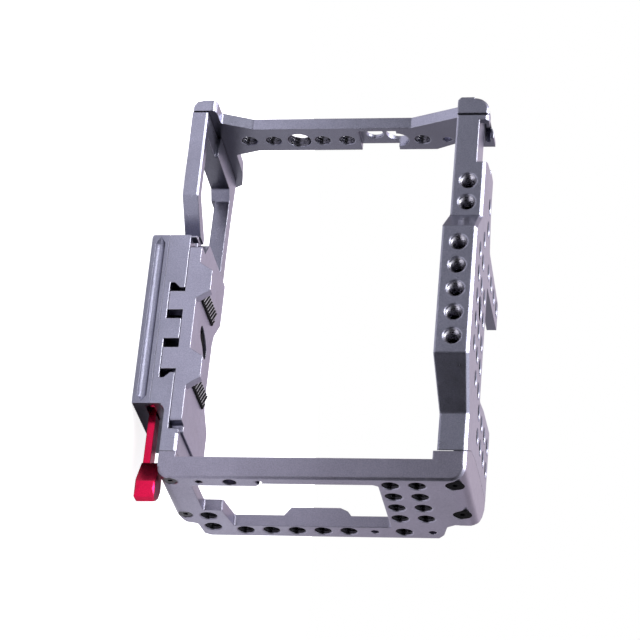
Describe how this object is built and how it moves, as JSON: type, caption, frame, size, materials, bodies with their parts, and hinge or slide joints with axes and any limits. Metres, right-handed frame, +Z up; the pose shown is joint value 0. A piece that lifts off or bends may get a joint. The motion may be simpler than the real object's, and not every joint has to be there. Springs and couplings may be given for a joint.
{
  "type": "camera cage",
  "caption": "Open camera cage with threaded frames, a drop-in camera plate with anti-twist lips, and a cam lock lever in its quick-release base.",
  "frame": {"origin": "middle of the outline of the whole cage, on the surface that its base stands on", "axes": "+Z up, the lens looks along -Y, the grip side is -X and the port side with the lever's thumb pad is +X"},
  "size_m": [0.1732, 0.076, 0.1284],
  "materials": {
    "titanium_grey": "bead-blasted and anodised, satin",
    "titanium_grey_dark": "bead-blasted and anodised, satin",
    "lever_red": "anodised, glossy",
    "steel": "satin",
    "rubber_black": "ridged"
  },
  "bodies": {
    "cage": {"grip_side_frame": "titanium_grey", "port_side_frame": "titanium_grey_dark", "top_plate": "titanium_grey", "bottom_frame": "titanium_grey", "base_plate": "titanium_grey", "grip_top_screws": "steel", "grip_bottom_screws": "steel", "port_top_screws": "steel", "port_bottom_screws": "steel", "base_screws": "steel"},
    "plate": {"camera_plate": "titanium_grey", "grip_side_pad": "rubber_black", "port_side_pad": "rubber_black"},
    "screw": {"camera_screw": "steel", "screw_clip": "steel"},
    "lever": {"lock_lever": "lever_red", "cam_shaft": "steel", "shaft_clip": "steel"},
    "jaw": {"clamp_jaw": "steel", "jaw_spring": "steel"}
  },
  "joints": [
    {"name": "plate_lift", "type": "slide", "parent": "cage", "child": "plate", "axis": [0, 0, 1], "range_m": [0, 0.022]},
    {"name": "screw_spin", "type": "hinge", "parent": "plate", "child": "screw", "pos_m": [0.01145, -0.006, 0.015], "axis": [0, 0, 1], "continuous": true},
    {"name": "lever_turn", "type": "hinge", "parent": "cage", "child": "lever", "pos_m": [0.04075, -0.0145, 0.006], "axis": [0, 0, 1], "range_deg": [-35, 0]},
    {"name": "jaw_slide", "type": "slide", "parent": "cage", "child": "jaw", "axis": [0, 1, 0], "range_m": [-0.0005, 0]}
  ],
  "couplings": [
    {"joint": "jaw_slide", "follows": "lever_turn", "m_per_rad": 0.00072}
  ]
}
